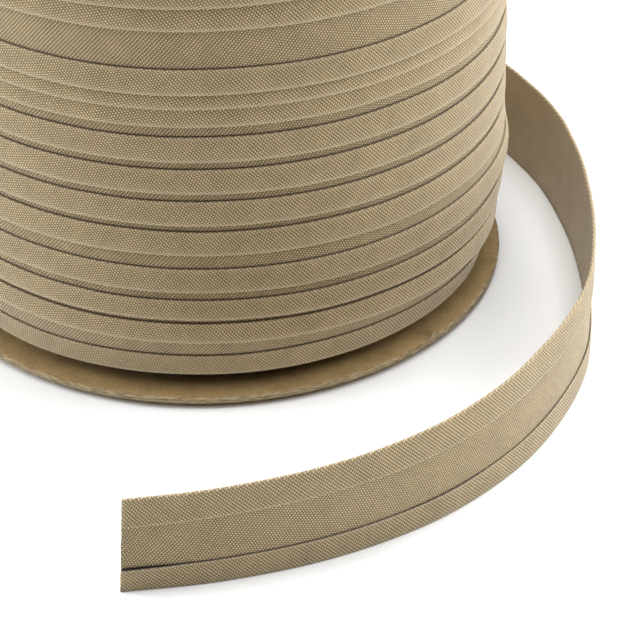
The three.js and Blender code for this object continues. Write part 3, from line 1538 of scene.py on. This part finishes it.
    def skin(
        self,
        points: np.ndarray,
        across: np.ndarray,
        along: np.ndarray,
        marks: list[Station],
        cloth: bpy.types.Material,
    ) -> bpy.types.Object:
        """Joins the rings of points into one closed cloth and dresses it.

        Args:
            points: Points by step and by place round the ring.
            across: Place across the cloth of each point of the middle line.
            along: Place along the cloth of each step.
            marks: Station of each point of the middle line.
            cloth: Material of the tape.

        Returns:
            The finished piece.
        """
        count, ring = points.shape[:2]
        width = len(across)
        places = np.concatenate([across, across[::-1]])
        flap_sides = [True] * width + [False] * width
        around = zip(marks + marks[::-1], flap_sides, places)
        values = [self.mark_values(station, side, place) for station, side, place in around]
        faces, uv = [], []
        painted = {"inner": [], "painted_shade": [], "pale": []}
        for k in range(count - 1):
            for j in range(ring):
                after = (j + 1) % ring
                corners = ((k, j), (k + 1, j), (k + 1, after), (k, after))
                faces.append([step * ring + place for step, place in corners])
                uv.append([(along[step], places[place]) for step, place in corners])
                for name in painted:
                    painted[name].append([values[place][name] for _, place in corners])
        for k, end in ((0, False), (count - 1, True)):
            for j in range(width - 1):
                loop = (j, j + 1, ring - 2 - j, ring - 1 - j)
                loop = loop if end else loop[::-1]
                faces.append([k * ring + place for place in loop])
                uv.append([(along[k], places[place]) for place in loop])
                for name in painted:
                    painted[name].append([self.cut_pale if name == "pale" and end else 0.0] * 4)
        piece = mesh_piece("loose_tape", points.reshape(-1, 3), faces)
        paint_corners(piece, uv, painted)
        piece.data.materials.append(cloth)
        for face in piece.data.polygons:
            face.use_smooth = True
        return piece

    def mark_values(self, station: Station, flap_side: bool, place: float) -> dict[str, float]:
        """Marks of one point on one side of the cloth.

        Args:
            station: The point's station.
            flap_side: True on the side of the cloth that shows on the flaps and faces the roll
                between them, and False on the side that shows in the channel.
            place: Place across the cloth.

        Returns:
            The value of each mark.
        """
        if flap_side:
            return {"inner": 1.0 - station.flap, "painted_shade": 0.0, "pale": station.pale}
        low, high = self.tape.lower_flap, self.tape.width - self.tape.upper_flap
        # On the channel side the cloth under each flap's raw edge gets painted shade.
        under_lower = float(smooth(low + 0.1 - place, 0.0, 0.25))
        under_upper = float(smooth(place - high, 0.0, 0.3))
        return {"inner": 0.0, "painted_shade": max(under_lower, under_upper), "pale": 0.0}


@dataclass
class Flange:
    """One round card end of the spool."""

    level: Level
    radius: float = 57.0
    thickness: float = 1.3
    foot_height: float = 1.1
    foot_radius: float = 50.0
    roll_height: float = 108.0
    segments: int = 400
    rim_noise: float = 0.06
    rim_waves: tuple[float, ...] = (3.1, 5.3, 9.7, 17.9, 40.0)
    lower_seed: int = 5
    upper_seed: int = 6
    tuft_angle: float = -42.3
    tuft_spread: float = 0.8
    tuft_height: float = 1.9

    def outline(self) -> list[tuple[float, float, float]]:
        """Outline from the middle of the underside to the middle of the upper side.

        Returns:
            For each point its radius, its height and how much it belongs to the rim.
        """
        edge, thick = self.radius, self.thickness
        foot, low = self.foot_radius, -self.foot_height
        middle = [(0.0, 0.0, 0.0)]
        if self.level is Level.LOWER:
            middle = [(0.0, low, 0.0), (foot - 0.3, low, 0.0)]
            middle += [(foot, low + 0.2, 0.5), (foot, 0.0, 0.5)]
        return middle + [
            (edge - 5.0, 0.0, 0.0),
            (edge - 0.7, 0.0, 0.0),
            (edge - 0.22, 0.06, 0.6),
            (edge - 0.04, 0.28, 1.0),
            (edge, 0.5, 1.0),
            (edge - 0.03, 0.75, 1.0),
            (edge, 0.95, 1.0),
            (edge - 0.06, thick - 0.2, 1.0),
            (edge - 0.22, thick - 0.05, 0.8),
            (edge - 0.6, thick, 0.1),
            (edge - 4.5, thick, 0.0),
            (edge - 12.0, thick, 0.0),
            (0.0, thick, 0.0),
        ]

    def build(self, card: bpy.types.Material) -> bpy.types.Object:
        """Builds the flange.

        Args:
            card: Material of the card.

        Returns:
            The finished piece.
        """
        lower = self.level is Level.LOWER
        rng = np.random.default_rng(self.lower_seed if lower else self.upper_seed)
        base = self.foot_height if lower else self.roll_height - self.thickness
        outline = self.outline()
        wobble = slow_waves(self.segments, self.rim_waves, rng) * self.rim_noise * 0.5
        wobble += rng.uniform(-0.5, 0.5, self.segments) * self.rim_noise * 0.6
        points = [(0.0, 0.0, base + outline[0][1])]
        for radius, height, rim in outline[1:-1]:
            ply = rng.uniform(-0.5, 0.5, self.segments) * self.rim_noise * 0.5 * rim
            for k in range(self.segments):
                turn = 2 * math.pi * k / self.segments
                near = radius + rim * (wobble[k] + ply[k])
                raised = rim * self.tuft(math.degrees(turn), height)
                points.append((near * math.cos(turn), near * math.sin(turn), base + height + raised))
        points.append((0.0, 0.0, base + self.thickness))
        return self.skin(np.array(points), [rim for _, _, rim in outline], card)

    def tuft(self, angle: float, height: float) -> float:
        """Height of the torn tuft that stands up from the lower flange's rim.

        Args:
            angle: Angle round the spool, in degrees.
            height: Height of the point on the rim, which is lifted only near its upper edge.

        Returns:
            How far the point is lifted.
        """
        if self.level is not Level.LOWER:
            return 0.0
        away = (angle - self.tuft_angle + 180) % 360 - 180
        share = max(0.0, height / self.thickness) ** 3
        return self.tuft_height * share * math.exp(-((away / self.tuft_spread) ** 2))

    def skin(self, points: np.ndarray, rims: list[float], card: bpy.types.Material) -> bpy.types.Object:
        """Joins the rings into a closed disc and dresses it.

        Args:
            points: The middle of the underside, the rings and the middle of the upper side.
            rims: How much each ring belongs to the rim, the two middles included.
            card: Material of the card.

        Returns:
            The finished piece.
        """
        faces, painted = [], []
        last = len(points) - 1
        for k in range(self.segments):
            after = (k + 1) % self.segments
            faces.append([0, 1 + after, 1 + k])
            painted.append([0.0, rims[1], rims[1]])
            for ring in range(len(rims) - 3):
                low = 1 + ring * self.segments
                high = low + self.segments
                faces.append([low + k, low + after, high + after, high + k])
                painted.append([rims[ring + 1], rims[ring + 1], rims[ring + 2], rims[ring + 2]])
            top = 1 + (len(rims) - 3) * self.segments
            faces.append([top + k, top + after, last])
            painted.append([rims[-2], rims[-2], 0.0])
        piece = mesh_piece(f"card_{self.level.value}", points, faces)
        attribute = piece.data.attributes.new("rim", "FLOAT", "CORNER")
        attribute.data.foreach_set("value", np.array([v for face in painted for v in face], float))
        piece.data.materials.append(card)
        for face in piece.data.polygons:
            face.use_smooth = True
        return piece


@dataclass
class StrayFibres:
    """Fibres and thread ends that stand out along the folds and cut edges, where the cloth is painted
    pale.
    """

    density: float = 0.5
    length: float = 0.75
    thickness: float = 0.022
    spread: float = 75.0
    shortest: float = 0.3
    bend: tuple[float, float, float] = (0.1, 0.0, 0.55)
    tip: tuple[float, float, float] = (0.55, 0.2, 0.85)
    lowest_place: float = 0.8
    seed: int = 3

    def tree(self, fibre: bpy.types.Material) -> ShapeBook:
        """Writes the tree that turns a cloth's mesh into the fibres on its places painted pale.

        Args:
            fibre: Material of the fibres.

        Returns:
            The finished tree.
        """
        book = ShapeBook("stray_fibres")
        density = book.given("Fibres per square metre", self.density / MM**2)
        length = book.given("Fibre length", self.length * MM)
        thickness = book.given("Fibre radius", self.thickness * MM)
        spread = book.given("Lean", math.radians(self.spread))
        seed = book.given("Seed", self.seed, "NodeSocketInt")
        material = book.given("Fibre", fibre, "NodeSocketMaterial")
        lowest = book.given("Lowest place", self.lowest_place * MM)
        wear_and_highlight = book.node("GeometryNodeInputNamedAttribute", {"data_type": "FLOAT"}, {"Name": "pale"})
        height = book.parts(book.node("GeometryNodeInputPosition").outputs[0])[2]
        above = height.math("GREATER_THAN", lowest)
        places = book.node(
            "GeometryNodeDistributePointsOnFaces",
            {"distribute_method": "RANDOM"},
            {"Mesh": book.entry.outputs[0], "Seed": seed},
        )
        amount = Expression(book, wear_and_highlight.outputs[0]) ** 2.0 * density * above
        book.tree.links.new(amount.socket, places.inputs["Density"])
        strand = self.strand(book, thickness / length)
        tilt = book.node("FunctionNodeRandomValue", {"data_type": "FLOAT_VECTOR"}, {"Seed": seed})
        book.tree.links.new(book.vector(spread * -1.0, spread * -1.0, -math.pi), tilt.inputs["Min"])
        book.tree.links.new(book.vector(spread, spread, math.pi), tilt.inputs["Max"])
        turned = book.node(
            "FunctionNodeRotateRotation",
            {"rotation_space": "LOCAL"},
            {"Rotation": places.outputs["Rotation"], "Rotate By": tilt.outputs[0]},
        )
        sizes = {2: self.shortest, 3: 1.0, "Seed": seed + 5.0}
        size = book.node("FunctionNodeRandomValue", {"data_type": "FLOAT"}, sizes)
        scale = Expression(book, size.outputs[1]) * length
        fibres = book.node(
            "GeometryNodeInstanceOnPoints",
            {},
            {
                "Points": places.outputs["Points"],
                "Instance": strand,
                "Rotation": turned.outputs[0],
                "Scale": book.vector(scale, scale, scale),
            },
        )
        book.close(fibres.outputs[0], material)
        return book

    def strand(self, book: ShapeBook, radius: Expression) -> bpy.types.NodeSocket:
        """One bent fibre of unit length.

        Args:
            book: Tree to write in.
            radius: Radius of the fibre as a share of its length.

        Returns:
            The fibre's geometry.
        """
        bent = {"Resolution": 4, "Start": (0, 0, 0), "Middle": self.bend, "End": self.tip}
        curve = book.node("GeometryNodeCurveQuadraticBezier", {}, bent)
        shaft = book.node("GeometryNodeCurvePrimitiveCircle", {}, {"Resolution": 3, "Radius": radius})
        solid = {"Curve": curve.outputs[0], "Profile Curve": shaft.outputs[0], "Fill Caps": True}
        return book.node("GeometryNodeCurveToMesh", {}, solid).outputs[0]

    def grow(self, cloth: bpy.types.Object, name: str, fibre: bpy.types.Material) -> bpy.types.Object:
        """Makes the fibres of one cloth piece.

        Args:
            cloth: The finished cloth.
            name: Name of the new piece.
            fibre: Material of the fibres.

        Returns:
            The fibres, as a piece of their own.
        """
        piece = bpy.data.objects.new(name, cloth.data.copy())
        bpy.context.scene.collection.objects.link(piece)
        self.tree(fibre).shape(piece)
        return piece


@dataclass
class Viewpoint:
    """Where the picture is taken from: in millimetres, degrees and pixels of a square picture."""

    place: tuple[float, float, float] = (20.5, -448.4, 276.8)
    down: float = 33.36
    roll: float = -1.44
    focal_pixels: float = 2600.0
    picture_pixels: float = 640.0
    sensor: float = 36.0

    def set_up(self) -> None:
        """Makes the camera and gives it to the scene."""
        camera = bpy.data.cameras.new("viewpoint")
        camera.sensor_fit = "HORIZONTAL"
        camera.sensor_width = self.sensor
        camera.lens = self.focal_pixels / self.picture_pixels * self.sensor
        camera.clip_start = 0.01
        camera.clip_end = 20.0
        pitch, roll = math.radians(self.down), math.radians(self.roll)
        right, ahead = Vector((1, 0, 0)), Vector((0, math.cos(pitch), -math.sin(pitch)))
        up = Vector((0, math.sin(pitch), math.cos(pitch)))
        side = right * math.cos(roll) + up * math.sin(roll)
        top = up * math.cos(roll) - right * math.sin(roll)
        turn = Matrix((side, top, -ahead)).transposed().to_4x4()
        holder = bpy.data.objects.new("viewpoint", camera)
        holder.matrix_world = Matrix.Translation(Vector(self.place) * MM) @ turn
        bpy.context.scene.collection.objects.link(holder)
        bpy.context.scene.camera = holder


@dataclass
class SoftLight:
    """One square soft light: its place, what it points at, its side and its power."""

    name: str
    place: tuple[float, float, float]
    side: float
    power: float
    target: tuple[float, float, float] = (0.0, 0.0, 0.04)

    def hang(self) -> None:
        """Makes the light."""
        light = bpy.data.lights.new(self.name, "AREA")
        light.shape = "SQUARE"
        light.size = self.side
        light.energy = self.power
        holder = bpy.data.objects.new(self.name, light)
        away = Vector(self.place) - Vector(self.target)
        turn = away.to_track_quat("Z", "Y").to_matrix().to_4x4()
        holder.matrix_world = Matrix.Translation(self.place) @ turn
        bpy.context.scene.collection.objects.link(holder)


@dataclass
class Studio:
    """Pale floor, white surroundings and soft lights."""

    floor_side: float = 6.0
    floor_colour: tuple[float, float, float] = (0.85, 0.86, 0.87)
    floor_shade: float = 0.985
    floor_patches: float = 3.0
    air: float = 0.04
    lights: tuple[SoftLight, ...] = (
        SoftLight("overhead", (0.0, 0.1, 1.1), 0.9, 13.5),
        SoftLight("left", (-1.0, 0.0, 0.5), 0.7, 11.8),
        SoftLight("right", (1.0, 0.05, 0.5), 0.7, 10.4),
        SoftLight("front", (0.1, -0.7, 1.1), 0.6, 4.0),
        SoftLight("back", (0.0, 1.0, 0.8), 0.8, 5.0),
        SoftLight("back_right", (0.8, 0.8, 0.5), 0.7, 11.5),
    )

    def set_up(self) -> None:
        """Makes the floor, the surroundings and the lights."""
        half = self.floor_side / 2 / MM
        corners = np.array([(-half, -half, 0), (half, -half, 0), (half, half, 0), (-half, half, 0)])
        floor = mesh_piece("studio_floor", corners, [(0, 1, 2, 3)])
        book = ShaderBook("pale_floor")
        place = book.node("ShaderNodeTexCoord").outputs["Object"]
        dim = tuple(part * self.floor_shade for part in self.floor_colour)
        colour = book.blend(book.noise(place, self.floor_patches, 2.0), dim, self.floor_colour)
        finish = book.finish(Base_Color=colour, Roughness=0.6, Specular_IOR_Level=0.2)
        floor.data.materials.append(finish)
        world = bpy.data.worlds.new("white_room")
        world.use_nodes = True
        background = world.node_tree.nodes["Background"]
        background.inputs["Color"].default_value = (1, 1, 1, 1)
        background.inputs["Strength"].default_value = self.air
        bpy.context.scene.world = world
        bpy.context.scene.view_settings.view_transform = "Standard"
        for light in self.lights:
            light.hang()


def settle(piece: bpy.types.Object, slot: Slot, *nodes: str) -> None:
    """Fits a finished piece to the frame and reports it.

    Args:
        piece: The piece.
        slot: Material slot that the piece stands for. It is not used.
        nodes: CAD nodes that it stands for.
    """
    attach(piece, "root")
    if nodes:
        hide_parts(*nodes)
    stands_for = ", ".join(nodes) or "no node"
    LOG.info("%s: %d faces, stands for %s", piece.name, len(piece.data.polygons), stands_for)


def main() -> None:
    """Builds the roll, its loose end, the studio and the camera."""
    logging.basicConfig(level=logging.INFO, format="%(name)s: %(message)s")
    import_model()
    Viewpoint().set_up()
    Studio().set_up()
    cloth, card, fibre = BiasCloth().material(), KraftCard().material(), LooseFibre().material()
    tape = Tape()
    for level in Level:
        settle(Flange(level).build(card), Slot.CARD, f"flange_{level.value}")
    winding = WoundTape(tape).build(cloth)
    settle(winding, Slot.CLOTH, "wound_tape")
    end = LooseEnd(tape)
    loose = end.build(cloth)
    settle(loose, Slot.CLOTH, "loose_end")
    length = (len(end.route()) - 1) * end.spacing
    fibres = StrayFibres()
    settle(fibres.grow(winding, "winding_fibres", fibre), Slot.CLOTH)
    edge_fibres = fibres.grow(loose, "loose_tape_fibres", fibre)
    settle(edge_fibres, Slot.CLOTH)


if __name__ == "__main__":
    main()
